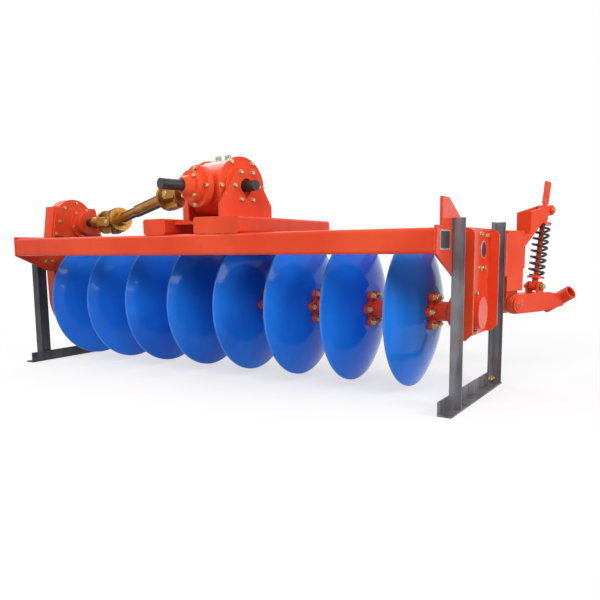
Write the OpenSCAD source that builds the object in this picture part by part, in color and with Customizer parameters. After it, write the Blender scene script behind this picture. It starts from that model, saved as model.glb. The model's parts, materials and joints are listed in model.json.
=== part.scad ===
// Driven disc plough: a gang of concave discs under a welded frame, with an
// angled bevel gearbox, a cardan shaft to a side gear case and a sprung tail
// arm, parked on two bolted angle-iron stands.

/* [Discs] */
// Rim diameter of a disc
disc_d = 600; // [560:5:606]
// Distance from one disc to the next along the gang
disc_pitch = 258; // [230:1:290]
// Radius of the flat middle of a disc
disc_flat_r = 100; // [88:1:112]
// Depth of the dish from the rim to the outer face of its flat middle
disc_depth = 72; // [62:1:76]
// Plate thickness of a disc
disc_t = 6; // [4:0.5:8]
// Radius of the hole in the flat middle of a disc
disc_hole_r = 50; // [44:1:56]
// Height of the disc rims over the ground when parked
disc_clear = 18; // [12:1:22]

/* [Gang] */
// Radius of the through shaft
gang_r = 28; // [22:1:32]
// Outer radius of the spool tubes between the discs
spool_r = 38; // [35:1:42]
// Thickness of a hub spider
hub_t = 14; // [10:1:18]
// Radius to the ends of the spider arms
hub_r = 78; // [70:1:84]
// Width of one spider arm
hub_arm_w = 36; // [28:1:42]
// Number of spider arms
hub_arms = 6; // [4:1:8]

/* [Frame] */
// Space between the tops of the discs and the rails
rail_gap = 7; // [6:1:14]
// Height and depth of the two beams
beam_h = 84; // [70:1:100]
// Wall of the beams and rails
beam_wall = 8; // [5:0.5:10]
// Corner radius of the beams and rails
beam_round = 12; // [9:1:16]
// Space between the disc sweep and the front beam
front_gap = 128; // [100:1:140]
// Space between the disc sweep and the rear beam
rear_gap = 49; // [30:1:60]
// Distance from the first rim to the left end plate
end_gap_l = 112; // [104:1:130]
// Distance from the last rim to the right end plate
end_gap_r = 220; // [208:1:240]
// Thickness of the end plates
plate_t = 10; // [8:1:14]
// Height of the lower edge of the left end plate
plate_low_l = 461; // [440:1:480]
// Height of the lower edge of the right end plate
plate_low_r = 400; // [390:1:420]
// Height of the rails that cross the beams
rail_h = 65; // [60:1:80]
// Left side of the left rail, from the right rail's left side
rail_l_x = 274; // [260:1:290]
// Width of the left rail
rail_l_w = 121; // [110:1:126]
// Left side of the right rail, from the first rim
rail_r_x = 1033; // [1010:1:1040]
// Width of the right rail
rail_r_w = 225; // [216:1:250]
// Height of the upright over the right end plate
upright_h = 92; // [60:1:120]

/* [Gearbox] */
// Angle of the gearbox to the gang
gear_turn = 12; // [9:0.5:15]
// Middle of the gearbox, from the right rail's left side
gear_x = 35; // [27:1:43]
// Place of the gearbox centre across the gang
gear_y = -247; // [-252:1:-240]
// Height of the gearbox shafts over the rails
gear_h = 121; // [120:1:130]
// Radius of the gearbox barrel
barrel_r = 112; // [104:1:113]
// Radius of the gearbox end flanges
flange_r = 118; // [115:1:119]
// Half length of the gearbox barrel with its flanges
barrel_half = 104; // [98:1:108]
// Thickness of the two support plates
support_t = 16; // [12:1:18]
// Half width of the right support plate at its foot
support_half = 135; // [128:1:138]
// Half width of the left support plate at its foot
lean_half = 120; // [116:1:124]
// Radius of the power input shaft
pto_r = 21; // [17:0.5:24]
// Distance of the input shaft's tip from the gearbox centre
pto_reach = 318; // [300:1:340]
// Radius of the output shaft
out_r = 21; // [17:0.5:22]
// End of the output shaft's bare right stub, from the gearbox centre
stub_reach = 186; // [176:1:200]

/* [Drive line] */
// Distance of the right universal joint from the gearbox centre
joint_reach = 345; // [335:1:355]
// Place of the left universal joint, from the first rim
joint_l_x = 140; // [132:1:148]
// Height of the side case's input shaft over the beams
side_h = 87; // [82:1:95]
// Radius of the side case's input shaft
side_r = 20; // [16:0.5:22]
// Radius of the cardan's outer tube
tube_r = 27; // [24:1:30]

/* [Side case] */
// Thickness of the side gear case
case_t = 60; // [52:1:70]
// Radius of the lower end of the side gear case
case_low_r = 186; // [176:1:192]
// Radius of the domed top of the side gear case
case_top_r = 124; // [116:1:128]

/* [Bearing] */
// Front edge of the bearing channel, from the gang axis
channel_front = 175; // [165:1:185]
// Rear edge of the bearing channel, from the gang axis
channel_rear = 158; // [150:1:166]
// Outward depth of the bearing channel
channel_d = 50; // [44:1:56]
// Corner cut and rounding of the channel's sides
channel_corner = 24; // [14:1:32]
// Height of the lower edge of the bearing channel
channel_low = 234; // [228:1:244]
// Height of the upper edge of the bearing channel
channel_top = 628; // [600:1:634]
// Radius of the bearing cover
cover_r = 61; // [56:1:66]
// Length of the bearing cover
cover_out = 29; // [18:1:36]

/* [Stands] */
// Leg width of the stand angles
angle_w = 50; // [46:1:54]
// Thickness of the stand angles
angle_t = 6; // [5:0.5:8]
// Distance of the left front post from the gang axis
post_front_l = 290; // [282:1:298]
// Distance of the right front post from the gang axis
post_front_r = 264; // [256:1:272]
// Distance of the rear posts from the gang axis
post_rear = 268; // [264:1:274]
// Length of the left foot in front of its post
foot_front_l = 66; // [50:1:75]
// Length of the right foot in front of its post
foot_front_r = 101; // [85:1:110]
// Length of the feet behind the rear posts
foot_rear = 14; // [6:1:60]
// Height of the right posts
post_r_h = 660; // [640:1:690]
// Height of the left posts
post_l_h = 600; // [580:1:616]

/* [Tail arm] */
// Angle of the tail arm to the gang
tail_turn = 23; // [20:0.5:26]
// Place of the tail post outward of the right end plate
tail_out = 32; // [28:1:36]
// Place of the tail post behind the rear beam
tail_back = 111; // [100:1:116]
// Height of the tail arm's pivot
tail_z = 318; // [312:1:324]
// Distance of the wheel tube behind the pivot
tail_len = 365; // [355:1:375]
// Radius of the wheel tube
wheel_tube_r = 31; // [29:1:33]
// Radius of the bore of the wheel tube
wheel_bore_r = 23; // [20:0.5:25]
// Length of the wheel tube
wheel_tube_l = 150; // [140:1:160]
// Upward tilt of the wheel tube
wheel_tilt = 30; // [25:1:32]
// Distance of the spring rod's lower pin behind the pivot
rod_back = 181; // [176:1:186]
// Distance of the spring rod's upper swivel behind the pivot
swivel_back = 233; // [226:1:240]
// Height of the upper swivel
swivel_z = 721; // [716:1:728]
// Radius of the spring rod
rod_r = 11; // [9:0.5:12]
// Mean radius of the spring's coils
coil_r = 31; // [28:1:32]
// Wire radius of the spring
wire_r = 5.5; // [4.5:0.5:6]
// Number of turns of the spring
coils = 8; // [6:1:8]

/* [Hidden] */
$fn = 96;
run = 0.05;
disc_count = 8;
disc_r = disc_d / 2;
axis_z = disc_r + disc_clear;
rim_c = (disc_r * disc_r - disc_flat_r * disc_flat_r - disc_depth * disc_depth) / (2 * disc_depth);
disc_sphere_r = sqrt(disc_r * disc_r + rim_c * rim_c);
beam_top = axis_z + disc_r + rail_gap;
beam_z = beam_top - beam_h;
gang_len = (disc_count - 1) * disc_pitch;
half_low = sqrt(disc_r * disc_r - pow(beam_z - axis_z, 2));
front_in = -(half_low + front_gap);
front_out = front_in - beam_h;
rear_in = half_low + rear_gap;
rear_out = rear_in + beam_h;
rail_back = rear_in + beam_h / 2;
rail_top = beam_top + rail_h;
rail_l_at = rail_r_x - rail_l_x;
xl0 = -end_gap_l;
xl1 = xl0 - plate_t;
xr0 = gang_len + end_gap_r;
xr1 = xr0 + plate_t;
plate_top = beam_top + 8;
plate_half_l = 230;
plate_front_r = 95;
plate_rear_r = 215;
upright_in = 50;
upright_w = 112;
upright_run = 300;
web_t = 8;
web_x = xr1 + web_t;
flange_x = xr1 + channel_d;
gear_z = rail_top + gear_h;
bridge_t = 12;
bridge_top = rail_top - beam_round;
bridge_ahead = 105;
bridge_behind = 160;
bridge_front = gear_y - bridge_ahead;
bridge_rear = gear_y + bridge_behind;
flange_t = 12;
neck_r = 70;
end_cap_r = 92;
end_cap_t = 12;
support_x = barrel_half + end_cap_t;
neck_end = 124;
input_r = 82;
cap_r = 60;
cone_start = 185;
cone_end = 220;
pto_root = out_r + 30;
drive_r = out_r - 1;
case_x = xl1 - case_t;
cover_t = plate_t;
case_front = -196;
case_front_top = -172;
case_rear_top = 101;
case_rear = 138;
case_dome_y = -42;
case_rise = 168;
case_flat = beam_top + case_rise;
side_z = beam_top + side_h;
side_hub_l = 65;
side_hub_r = 60;
side_flange_r = 82;
side_flange_t = 14;
side_hub_end = xl1 + side_hub_l;
gear_at = rail_r_x + gear_x;
joint_r = [gear_at - joint_reach * cos(gear_turn), gear_y + joint_reach * sin(gear_turn), gear_z];
joint_l = [joint_l_x, 0, side_z];
span = joint_r - joint_l;
span_len = norm(span);
span_yaw = atan2(span[1], span[0]);
span_pitch = atan2(span[2], sqrt(span[0] * span[0] + span[1] * span[1]));
yoke_hub = 110;
side_sleeve = 150;
yoke_base = 60;
ear_in = 41;
ear_out = 60;
ear_face = 35;
ear_r = 24;
pin_r = 15;
tail_x = xr0 + tail_out;
tail_y = rear_out + tail_back;
post_a = 40;
post_b = 70;
post_back = 38;
strip_t = 14;
post_z0 = tail_z + 58;
post_z1 = 630;
bracket_b = 88;
bracket_top = 711;
bracket_low = 565;
bracket_foot = 470;
seat_gap = 0.05;
fork_in = 29;
fork_out = 37;
cheek_in = 20;
cheek_out = 36;
boss_out = 44;
arm_half = 42;
rod_z = tail_z + 69;
rod_lean = atan2(swivel_back - rod_back, swivel_z - rod_z);
rod_len = sqrt(pow(swivel_back - rod_back, 2) + pow(swivel_z - rod_z, 2));
seat_low = 44;
seat_top = rod_len - 62;
coil_len = seat_top - seat_low - 2 * wire_r;
coil_pitch = coil_len / coils;
coil_tilt = atan2(coil_pitch / 2, 2 * coil_r);
coil_half_r = sqrt(coil_r * coil_r + coil_pitch * coil_pitch / 16);
tube_ax = [cos(tail_turn) * cos(wheel_tilt), -sin(tail_turn) * cos(wheel_tilt), sin(wheel_tilt)];
tube_mid = [tail_x + tail_len * sin(tail_turn), tail_y + tail_len * cos(tail_turn), tail_z];
x_max = tube_mid[0] + tube_ax[0] * wheel_tube_l / 2 + wheel_tube_r * sqrt(1 - tube_ax[0] * tube_ax[0]);
y_max = tube_mid[1] - tube_ax[1] * wheel_tube_l / 2 + wheel_tube_r * sqrt(1 - tube_ax[1] * tube_ax[1]);
x_min = case_x;
y_min = gear_y - pto_reach * cos(gear_turn) - pto_r * sin(gear_turn);
mid_x = (x_min + x_max) / 2;
mid_y = (y_min + y_max) / 2;

red = [0.80, 0.13, 0.06];
blue = [0.02, 0.13, 0.55];
gold = [0.60, 0.44, 0.16];
steel = [0.20, 0.20, 0.21];
black = [0.06, 0.06, 0.07];

// Frame shared by all pieces: ground at zero, box centre over the origin
module place() { translate([-mid_x, -mid_y, 0]) children(); }
module on_gang() { place() translate([0, 0, axis_z]) children(); }
module on_gear() { place() translate([gear_at, gear_y, gear_z]) rotate([0, 0, -gear_turn]) children(); }
module on_tail() { place() translate([tail_x, tail_y, 0]) rotate([0, 0, -tail_turn]) children(); }
module on_span() { place() translate(joint_l) rotate([0, -span_pitch, span_yaw]) children(); }
module on_rod() { on_tail() translate([0, rod_back, rod_z]) rotate([-rod_lean, 0, 0]) children(); }

module xcyl(r, x0, x1) { translate([x0, 0, 0]) rotate([0, 90, 0]) cylinder(r = r, h = x1 - x0); }
module front_cyl(r, d0, d1) { translate([0, -d0, 0]) rotate([90, 0, 0]) cylinder(r = r, h = d1 - d0); }
module box(p0, p1) { translate(p0) cube(p1 - p0); }
module slab_x(x0, x1) { translate([x0, 0, 0]) rotate([90, 0, 90]) linear_extrude(x1 - x0) children(); }
module round_rect(w, h, r) {
    translate([r, 0]) square([w - 2 * r, h]);
    translate([0, r]) square([w, h - 2 * r]);
    for (x = [r, w - r], y = [r, h - r]) translate([x, y]) circle(r);
}
module tube_2d(w, h) {
    difference() {
        round_rect(w, h, beam_round);
        translate([beam_wall, beam_wall])
            round_rect(w - 2 * beam_wall, h - 2 * beam_wall, max(beam_round - beam_wall, 1));
    }
}

// Frame
module front_beam() color(red) place()
    slab_x(xl0, xr0) translate([front_out, beam_z]) tube_2d(beam_h, beam_h);
module rear_beam() color(red) place()
    slab_x(xl0, xr0) translate([rear_in, beam_z]) tube_2d(beam_h, beam_h);

// A rail is a tube across both beams, closed by a plate at each end
module rail(x, w) {
    place() {
        translate([x, rail_back, beam_top]) rotate([90, 0, 0])
            linear_extrude(rail_back - front_out) tube_2d(w, rail_h);
        for (y = [front_out + 4, rail_back])
            translate([x, y, beam_top]) rotate([90, 0, 0])
                linear_extrude(4) round_rect(w, rail_h, beam_round);
    }
}
module left_rail() color(red) rail(rail_l_at, rail_l_w);
module right_rail() color(red) rail(rail_r_x, rail_r_w);
// A plate between the rails carries the left support
module rail_bridge() color(red) place()
    box([rail_l_at + rail_l_w, bridge_front, bridge_top - bridge_t], [rail_r_x, bridge_rear, bridge_top]);

// Outline of an end plate, from the front and rear ends of its lower edge and its height
module end_plate_2d(front, rear, low) {
    polygon([[front_out, beam_z], [front_out, plate_top], [rear_out, plate_top],
        [rear_out, beam_z], [rear, low], [front, low]]);
}
module left_end_plate() color(red) place()
    slab_x(xl1, xl0) end_plate_2d(-plate_half_l, plate_half_l, plate_low_l);
module right_end_plate() color(red) place()
    slab_x(xr0, xr1) end_plate_2d(-plate_front_r, plate_rear_r, plate_low_r);
module end_upright() color(red) place() slab_x(xr0, xr1)
    polygon([[front_out + upright_in, plate_top], [front_out + upright_in, plate_top + upright_h],
        [front_out + upright_w, plate_top + upright_h], [front_out + upright_run, plate_top]]);

// Right bearing: the channel opens outward, its sides cut below and rounded above
module channel_side_2d() {
    polygon([[xr1, channel_low], [flange_x - channel_corner, channel_low], [flange_x, channel_low + channel_corner],
        [flange_x, channel_top - channel_corner], [flange_x - channel_corner, channel_top], [xr1, channel_top]]);
    translate([flange_x - channel_corner, channel_top - channel_corner]) circle(channel_corner);
}
module bearing_channel() color(red) place() difference() {
    union() {
        box([xr1, -channel_front, channel_low], [web_x, channel_rear, channel_top]);
        for (y = [-channel_front, channel_rear - web_t])
            translate([0, y + web_t, 0]) rotate([90, 0, 0]) linear_extrude(web_t) channel_side_2d();
    }
    translate([0, 0, axis_z]) xcyl(gang_r + 10, xr1 - 1, web_x + 1);
}
module bearing_housing() color(red) on_gang() difference() {
    union() {
        xcyl(56, gang_len + 147, xr1);
        xcyl(66, xr1 - 14, xr1);
    }
    xcyl(gang_r + run, gang_len + 140, web_x);
}
module bearing_cover() color(red) on_gang() xcyl(cover_r, web_x, web_x + cover_out);

// Side gear case
module case_2d(s) {
    polygon([[case_front + s, beam_top + 16], [case_front_top + s, case_flat - s],
        [case_rear_top - s, case_flat - s], [case_rear - s, beam_top + 16]]);
    translate([case_dome_y, side_z]) circle(case_top_r - s);
}
module side_case() color(red) place() difference() {
    union() {
        slab_x(case_x, xl1) {
            case_2d(0);
            translate([0, axis_z]) circle(case_low_r);
            polygon([[-case_low_r, axis_z], [case_front, beam_top + 16], [case_rear, beam_top + 16], [case_low_r, axis_z]]);
        }
        translate([0, 0, axis_z]) xcyl(56, xl1, xl1 + 17);
    }
    translate([0, 0, axis_z]) xcyl(gang_r + run, case_x + 12, xl0 + 20);
    translate([0, 0, side_z]) xcyl(side_r + run, case_x + 12, xl0);
}
module side_cover() color(red) place() difference() {
    slab_x(xl1, xl1 + cover_t) intersection() {
        case_2d(8);
        translate([-500, plate_top + 4]) square([1000, 500]);
    }
    translate([0, 0, side_z]) xcyl(side_r + 8, xl1 - 1, xl0);
}
module side_hub() color(red) place() translate([0, 0, side_z]) difference() {
    union() {
        xcyl(side_hub_r, xl1 + cover_t, side_hub_end);
        xcyl(side_flange_r, xl1 + cover_t, xl1 + cover_t + side_flange_t);
    }
    xcyl(side_r + run, xl1, side_hub_end + 1);
}

// Bevel gearbox, turned to the line of travel
module gearbox_case() color(red) on_gear() difference() {
    union() {
        xcyl(barrel_r, -barrel_half, barrel_half);
        for (x = [-barrel_half, barrel_half - flange_t]) xcyl(flange_r, x, x + flange_t);
        xcyl(end_cap_r, -support_x, support_x);
        front_cyl(neck_r, 0, neck_end);
        front_cyl(input_r, neck_end, neck_end + 14);
    }
    xcyl(out_r + 2 + run, -support_x - 1, support_x + 1);
    front_cyl(pto_r + 3 + run, out_r + 24, neck_end + 15);
}
module input_cap() color(red) on_gear() difference() {
    union() {
        front_cyl(input_r, neck_end + 14, neck_end + 26);
        front_cyl(cap_r, neck_end + 26, cone_start);
        translate([0, -cone_start, 0]) rotate([90, 0, 0])
            cylinder(r1 = cap_r - 16, r2 = pto_r + 9, h = cone_end - cone_start);
    }
    front_cyl(pto_r + 3 + run, neck_end, cone_end + 1);
}
module support_2d(half, foot, hole) {
    difference() {
        union() {
            polygon([[-half, foot], [half, foot], [half, 46 - gear_h], [58, 45], [-58, 45], [-half, 46 - gear_h]]);
            circle(75);
        }
        circle(hole);
    }
}
module right_support() color(red) on_gear() slab_x(support_x, support_x + support_t) difference() {
    support_2d(support_half, -gear_h, 30);
    polygon([[-22, -16], [22, -16], [0, -53]]);
}
// The left support has a stiffening lip along its front edge and clears the rails beside it
module left_support() color(red) difference() {
    foot = bridge_top - gear_z;
    on_gear() {
        slab_x(-support_x - support_t, -support_x) support_2d(lean_half, foot, 32);
        box([-support_x, -lean_half, foot], [-support_x + 20, 10 - lean_half, 65 - gear_h]);
    }
    place() for (x = [rail_l_at, rail_r_x])
        box([x - seat_gap, front_out, beam_top],
            [x + seat_gap + (x == rail_l_at ? rail_l_w : rail_r_w), rail_back, rail_top + seat_gap]);
}

// Parking stands of bolted steel angle, drawn with the end plate's face at zero
module foot(front, ahead) {
    y0 = -front - ahead;
    y1 = post_rear + foot_rear;
    box([-angle_t, y0, 0], [angle_w - angle_t, y1, angle_t]);
    box([-angle_t, y0, 0], [0, y1, angle_w]);
}
module posts(h, front) {
    for (y = [-front, post_rear - angle_t])
        box([0, y, angle_t], [angle_w - angle_t, y + angle_t, h]);
    for (y = [-front, post_rear - angle_w])
        box([0, y, angle_t], [angle_t, y + angle_w, h]);
}
module left_foot() color(steel) place() translate([xl1, 0, 0]) mirror([1, 0, 0]) foot(post_front_l, foot_front_l);
module left_posts() color(steel) place() translate([xl1, 0, 0]) mirror([1, 0, 0]) posts(post_l_h, post_front_l);
module right_foot() color(steel) place() translate([xr1, 0, 0]) foot(post_front_r, foot_front_r);
module right_posts() color(steel) place() translate([xr1, 0, 0]) posts(post_r_h, post_front_r);

// Tail post and its spring bracket
module tail_bracket() color(red) place() {
    b = post_b + seat_gap;
    near = [tail_x - post_a * cos(tail_turn) - b * sin(tail_turn), tail_y + post_a * sin(tail_turn) - b * cos(tail_turn)];
    far = [tail_x + post_a * cos(tail_turn) - b * sin(tail_turn), tail_y - post_a * sin(tail_turn) - b * cos(tail_turn)];
    translate([0, 0, bracket_foot - 30]) linear_extrude(beam_top - 8 - bracket_foot + 30)
        polygon([near, far, [far[0], rear_out], [xr0 - 90, rear_out], [xr0 - 90, rear_out + 12]]);
}
module tail_post() color(red) on_tail() {
    box([-post_a, -post_b, post_z0], [post_a, post_back, post_z1]);
    difference() {
        slab_x(-cheek_in + 5, cheek_in - 5) {
            translate([-post_back, tail_z]) square([2 * post_back, post_z0 - tail_z]);
            translate([0, tail_z]) circle(post_back);
        }
        translate([0, 0, tail_z]) xcyl(16, -30, 30);
    }
}
// Two cheeks behind the post carry the swivel, joined by a plate on the post and one above it
module spring_bracket() color(red) on_tail() {
    for (x = [-fork_out, fork_in]) difference() {
        slab_x(x, x + fork_out - fork_in) {
            polygon([[post_back, bracket_low], [post_back, post_z1 - 12], [bracket_b, post_z1 - 12], [bracket_b, bracket_top],
                [swivel_back - 6, swivel_z + 22], [swivel_back + 20, swivel_z - 8], [swivel_back - 34, swivel_z - 30],
                [post_back + strip_t, bracket_low]]);
            translate([swivel_back, swivel_z]) circle(22);
        }
        translate([0, swivel_back, swivel_z]) xcyl(9, -50, 50);
    }
    box([-fork_out, post_back, bracket_foot], [fork_out, post_back + strip_t, post_z1 - 12]);
    box([-fork_out, bracket_b, post_z1 - 12], [fork_out, bracket_b + 8, bracket_top]);
}
module tail_pin() color(red) on_tail() translate([0, 0, tail_z]) {
    xcyl(16, -46, 46);
    for (x = [-54, 46]) xcyl(34, x, x + 8);
}
module swivel_pin() color(gold) on_tail() translate([0, swivel_back, swivel_z]) for (k = [0, 180]) rotate([0, 0, k]) {
    xcyl(9, rod_r + 7, fork_out);
    xcyl(15, fork_out, fork_out + 8);
}

// Disc gang
module gang_shaft() color(red) on_gang() xcyl(gang_r, case_x + 20, xr1 - 6);
module gang_spools() color(red) on_gang() difference() {
    for (i = [-1 : disc_count - 1])
        xcyl(spool_r,
            i < 0 ? xl1 + 25 : i * disc_pitch + disc_depth + hub_t,
            i == disc_count - 1 ? gang_len + 139 : (i + 1) * disc_pitch + disc_depth);
    xcyl(gang_r, case_x, web_x);
}
module hub_2d() {
    difference() {
        union() {
            circle(spool_r + 8);
            for (k = [0 : hub_arms - 1]) rotate(k * 360 / hub_arms) {
                translate([0, -hub_arm_w / 2]) square([hub_r - hub_arm_w / 2, hub_arm_w]);
                translate([hub_r - hub_arm_w / 2, 0]) circle(hub_arm_w / 2);
            }
        }
        circle(gang_r);
    }
}
module disc_hubs() color(red) on_gang() for (i = [0 : disc_count - 1])
    slab_x(i * disc_pitch + disc_depth, i * disc_pitch + disc_depth + hub_t) hub_2d();
module disc_2d() {
    difference() {
        intersection() {
            circle(r = disc_sphere_r);
            translate([disc_hole_r, 0]) square([disc_r - disc_hole_r, rim_c + disc_depth]);
        }
        intersection() {
            circle(r = disc_sphere_r - disc_t);
            square([disc_r + 50, rim_c + disc_depth - disc_t]);
        }
    }
}
module discs() color(blue) on_gang() for (i = [0 : disc_count - 1])
    translate([i * disc_pitch - rim_c, 0, 0]) rotate([0, 90, 0]) rotate_extrude() disc_2d();

// Drive line
module pto_shaft() color(black) on_gear() {
    front_cyl(pto_r + 3, pto_root, cone_end);
    front_cyl(pto_r, cone_end, pto_reach);
}
module output_shaft() color(black) on_gear() {
    xcyl(drive_r, -joint_reach + yoke_base + 20, -support_x - support_t);
    xcyl(out_r + 2, -support_x - support_t, support_x + support_t);
    xcyl(out_r, support_x + support_t, stub_reach);
}
// A fork whose joint centre is at the origin and whose hub points to -X,
// with ears hollowed to a sphere about that centre
module yoke(bore, hub) {
    difference() {
        union() {
            xcyl(30, -hub, -yoke_base - 10);
            xcyl(ear_out, -yoke_base - 14, -yoke_base);
            for (s = [0, 180]) rotate([s, 0, 0]) {
                intersection() {
                    box([-yoke_base - 2, ear_face, -ear_r], [0, ear_out, ear_r]);
                    xcyl(ear_out + 3, -yoke_base - 2, 1);
                }
                translate([0, ear_face, 0]) rotate([-90, 0, 0]) cylinder(r = ear_r, h = ear_out - ear_face);
            }
        }
        sphere(r = ear_in);
        if (bore > 0) xcyl(bore, -hub - 1, -yoke_base - 20);
        if (bore > 0) for (s = [0, 180]) rotate([s, 0, 0]) translate([0, ear_face - 1, 0])
            rotate([-90, 0, 0]) cylinder(r = pin_r, h = ear_out - ear_face + 2);
    }
}
// A cross held by the fork above: long arms in its ears, round-ended arms between the other ears
module cross() {
    translate([0, -ear_out, 0]) rotate([-90, 0, 0]) cylinder(r = pin_r, h = 2 * ear_out);
    intersection() {
        translate([0, 0, -ear_in]) cylinder(r = pin_r, h = 2 * ear_in);
        sphere(r = ear_in - 0.3);
    }
    sphere(r = 22);
}
module gearbox_yoke() color(gold) on_gear() translate([-joint_reach, 0, 0]) rotate([0, 0, 180]) yoke(drive_r, yoke_hub);
module gearbox_cross() color(gold) on_gear() translate([-joint_reach, 0, 0]) cross();
module side_yoke() color(gold) place() translate(joint_l) yoke(side_r, side_sleeve);
module side_cross() color(gold) place() translate(joint_l) cross();
module side_shaft() color(black) place() translate([0, 0, side_z])
    xcyl(side_r, case_x + 20, joint_l_x - yoke_base - 20);
module lobed_2d(r) {
    circle(r);
    for (k = [0 : 2]) rotate(k * 120) {
        translate([0, -8]) square([r + 4, 16]);
    }
}
module cardan_outer() color(gold) on_span() {
    translate([span_len, 0, 0]) rotate([90, 0, 0]) yoke(0, yoke_hub);
    difference() {
        slab_x(span_len * 0.42, span_len - yoke_hub + 10) lobed_2d(tube_r);
        slab_x(span_len * 0.42 - 1, span_len - yoke_hub - 6) lobed_2d(tube_r - 5);
    }
}
module cardan_inner() color(gold) on_span() {
    rotate([0, 0, 180]) rotate([90, 0, 0]) yoke(0, yoke_hub);
    xcyl(36, yoke_hub - 8, yoke_hub + 12);
    slab_x(yoke_hub, span_len * 0.72) lobed_2d(tube_r - 5);
}

// Tail arm, spring rod and spring
module arm_2d() {
    circle(arm_half);
    polygon([[0, -arm_half], [rod_back, -arm_half], [tail_len - 12, -26], [tail_len - 12, 26],
        [rod_back + 60, arm_half], [0, arm_half]]);
}
module tail_arm() color(red) on_tail() translate([0, 0, tail_z]) difference() {
    union() {
        for (x = [-cheek_out, cheek_in]) slab_x(x, x + cheek_out - cheek_in) arm_2d();
        for (x = [-boss_out, cheek_out]) xcyl(arm_half - 3, x, x + boss_out - cheek_out);
        box([-cheek_in, 70, -40], [cheek_in, 130, 40]);
        box([-cheek_in, tail_len - 70, -24], [cheek_in, tail_len - 12, 24]);
        for (x = [-32, 24]) slab_x(x, x + 8) {
            translate([rod_back - 22, 0]) square([44, rod_z - tail_z]);
            translate([rod_back, rod_z - tail_z]) circle(22);
        }
    }
    xcyl(16 + run, -60, 60);
    translate([0, rod_back, rod_z - tail_z]) xcyl(9, -60, 60);
    translate([0, tail_len, 0]) rotate([0, 90 - wheel_tilt, 0])
        cylinder(r = wheel_tube_r, h = wheel_tube_l, center = true);
}
module wheel_tube() color(red) on_tail() translate([0, tail_len, tail_z]) rotate([0, 90 - wheel_tilt, 0]) difference() {
    cylinder(r = wheel_tube_r, h = wheel_tube_l, center = true);
    cylinder(r = wheel_bore_r, h = wheel_tube_l + 2, center = true);
}
module rod_pin() color(gold) on_tail() translate([0, rod_back, rod_z]) {
    xcyl(9, -32, 32);
    for (x = [-40, 32]) xcyl(15, x, x + 8);
}
module spring_rod() color(red) on_rod() {
    difference() {
        union() {
            xcyl(20, -17, 17);
            cylinder(r = 14, h = seat_low - 8);
            cylinder(r = rod_r, h = rod_len + 30);
            translate([0, 0, seat_low - 8]) cylinder(r = 37, h = 8);
            box([-6, -16, rod_len + 30], [6, 16, rod_len + 128]);
        }
        xcyl(9 + run, -30, 30);
        translate([0, 0, rod_len + 60]) xcyl(4, -10, 10);
    }
}
module spring_swivel() color(red) on_rod() difference() {
    union() {
        box([5 - fork_in, -20, rod_len - 20], [fork_in - 5, 20, rod_len + 20]);
        translate([0, 0, seat_top + 8]) cylinder(r = 19, h = rod_len - 20 - seat_top - 8);
        translate([0, 0, seat_top]) cylinder(r = 37, h = 8);
    }
    cylinder(r = rod_r + 5, h = rod_len + 60);
    translate([0, 0, rod_len]) xcyl(9 + run, -30, 30);
}
module half_turn(k) {
    translate([0, 0, seat_low + wire_r + (k + 0.5) * coil_pitch / 2])
        rotate([0, k % 2 == 0 ? -coil_tilt : coil_tilt, 0])
            rotate([0, 0, k % 2 == 0 ? 0 : 180])
                rotate_extrude(angle = 180, $fn = 32) translate([coil_half_r, 0]) circle(r = wire_r, $fn = 10);
}
module tail_spring() color(black) on_rod() for (k = [0 : 2 * coils - 1]) half_turn(k);

front_beam();
rear_beam();
left_rail();
right_rail();
rail_bridge();
left_end_plate();
right_end_plate();
end_upright();
bearing_channel();
bearing_housing();
bearing_cover();
side_case();
side_cover();
side_hub();
gearbox_case();
input_cap();
right_support();
left_support();
left_foot();
left_posts();
right_foot();
right_posts();
tail_bracket();
tail_post();
spring_bracket();
tail_pin();
swivel_pin();
gang_shaft();
gang_spools();
disc_hubs();
discs();
pto_shaft();
output_shaft();
gearbox_yoke();
gearbox_cross();
cardan_outer();
cardan_inner();
side_shaft();
side_yoke();
side_cross();
tail_arm();
wheel_tube();
rod_pin();
spring_rod();
tail_spring();
spring_swivel();
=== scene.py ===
"""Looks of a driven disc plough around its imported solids.

Each sub-assembly is a class that paints its solids and adds its fasteners,
welds and plates, in the solids' own frame, in metres.
"""

import json
import logging
import math
from dataclasses import dataclass, replace
from enum import Enum
from typing import Any, Iterable

import bmesh
import bpy
from mathutils import Matrix, Vector


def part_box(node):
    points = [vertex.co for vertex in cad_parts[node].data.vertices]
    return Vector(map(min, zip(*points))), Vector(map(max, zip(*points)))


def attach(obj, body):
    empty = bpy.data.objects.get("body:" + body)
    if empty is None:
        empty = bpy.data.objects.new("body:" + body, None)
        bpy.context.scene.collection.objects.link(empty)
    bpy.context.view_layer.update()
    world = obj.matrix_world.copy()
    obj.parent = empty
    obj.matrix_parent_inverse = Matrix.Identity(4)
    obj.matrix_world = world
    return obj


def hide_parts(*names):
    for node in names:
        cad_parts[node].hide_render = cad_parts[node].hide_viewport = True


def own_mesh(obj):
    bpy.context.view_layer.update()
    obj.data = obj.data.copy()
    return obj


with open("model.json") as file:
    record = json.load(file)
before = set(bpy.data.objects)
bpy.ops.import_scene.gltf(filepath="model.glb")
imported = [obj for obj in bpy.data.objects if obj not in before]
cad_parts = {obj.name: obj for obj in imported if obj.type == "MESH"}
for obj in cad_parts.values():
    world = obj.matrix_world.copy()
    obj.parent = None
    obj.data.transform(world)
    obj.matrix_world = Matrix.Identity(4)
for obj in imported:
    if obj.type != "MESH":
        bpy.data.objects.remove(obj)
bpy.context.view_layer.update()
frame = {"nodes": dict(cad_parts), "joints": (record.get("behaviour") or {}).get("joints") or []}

LOG = logging.getLogger("plough")
JOINTS = {joint["name"]: joint for joint in frame["joints"]}
UP = Vector((0.0, 0.0, 1.0))
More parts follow.
